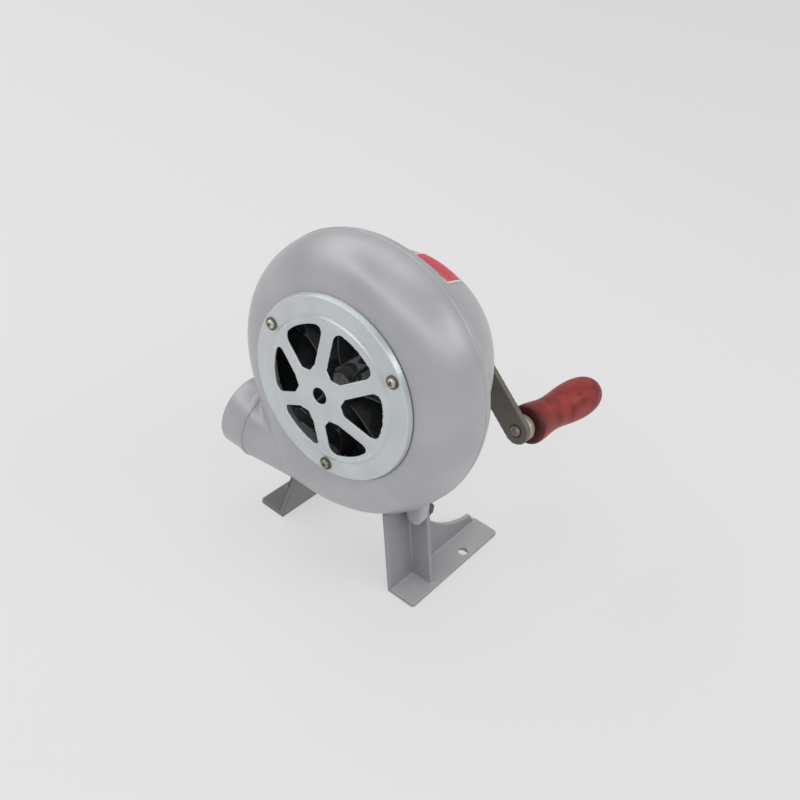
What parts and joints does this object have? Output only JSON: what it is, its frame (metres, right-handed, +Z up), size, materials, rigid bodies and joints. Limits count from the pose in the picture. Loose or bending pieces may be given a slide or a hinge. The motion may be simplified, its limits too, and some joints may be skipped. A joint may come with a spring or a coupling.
{
  "type": "hand crank fan",
  "caption": "Small cast centrifugal fan with a round scroll casing, a side outlet, a windowed inlet cover, angled feet and a geared hand crank with a wooden grip.",
  "frame": {"origin": "on the floor under the feet, midway between the bolt holes of the two feet", "axes": "+Z up; -Y towards the air inlet, so the fan's axis lies along Y and the crank is at +Y; -X the way the outlet blows"},
  "size_m": [0.1794, 0.2089, 0.24],
  "materials": {
    "casing_paint": "satin grey paint over a cast skin",
    "foot_paint": "satin grey paint over a cast skin",
    "zinc_sheet": "pressed sheet, bright zinc plated",
    "zinc_screw": "zinc plated, passivated slightly yellow",
    "dark_washer": "oxidised steel",
    "steel_screw": "zinc plated steel",
    "label_enamel": "bare red enamel with a white border",
    "bronze": "oil impregnated bronze",
    "steel": "turned steel",
    "gear_steel": "cut steel, greased",
    "impeller_paint": "dark grey paint on sheet steel",
    "dark_steel": "black oxide flat bar, worn on its edges",
    "pale_collar": "turned, slightly dull",
    "grip_wood": "turned wood, red lacquer, worn"
  },
  "bodies": {
    "housing": {"scroll_casing": "casing_paint", "inlet_cover": "zinc_sheet", "inlet_cover_screws": "zinc_screw", "inlet_cover_washers": "dark_washer", "back_plate": "casing_paint", "back_plate_screws": "steel_screw", "gear_case": "casing_paint", "gear_case_screws": "steel_screw", "label_plate": "label_enamel", "fan_bush": "bronze", "crank_bush": "bronze", "idler_axle": "steel", "left_foot": "foot_paint", "right_foot": "foot_paint", "foot_screws": "steel_screw", "foot_washers": "steel_screw"},
    "fan": {"fan_shaft": "steel", "fan_pinion": "gear_steel", "fan_nut": "steel", "fan_thrust_washer": "steel", "impeller_hub": "impeller_paint", "impeller_disc": "impeller_paint", "impeller_blades": "impeller_paint"},
    "idler": {"idler_gear": "gear_steel", "idler_pinion": "gear_steel"},
    "crank": {"crank_shaft": "steel", "crank_gear": "gear_steel", "crank_spacer": "steel", "crank_arm": "dark_steel", "crank_washer": "steel", "crank_nut": "steel", "handle_spindle": "steel", "handle_collar": "pale_collar", "handle_washer": "steel"},
    "handle": {"handle_grip": "grip_wood"}
  },
  "joints": [
    {"name": "crank_turn", "type": "hinge", "parent": "housing", "child": "crank", "pos_m": [0, 0, 0.152], "axis": [0, 1, 0], "continuous": true},
    {"name": "idler_spin", "type": "hinge", "parent": "housing", "child": "idler", "pos_m": [0, 0, 0.18575], "axis": [0, 1, 0], "continuous": true},
    {"name": "fan_spin", "type": "hinge", "parent": "housing", "child": "fan", "pos_m": [0, 0, 0.152], "axis": [0, 1, 0], "continuous": true},
    {"name": "handle_spin", "type": "hinge", "parent": "crank", "child": "handle", "pos_m": [0.07045, 0.02353, 0.10267], "axis": [0.0927, 0.9936, -0.0649], "continuous": true}
  ],
  "couplings": [
    {"joint": "idler_spin", "follows": "crank_turn", "ratio": -3.5},
    {"joint": "fan_spin", "follows": "crank_turn", "ratio": 12.25}
  ]
}
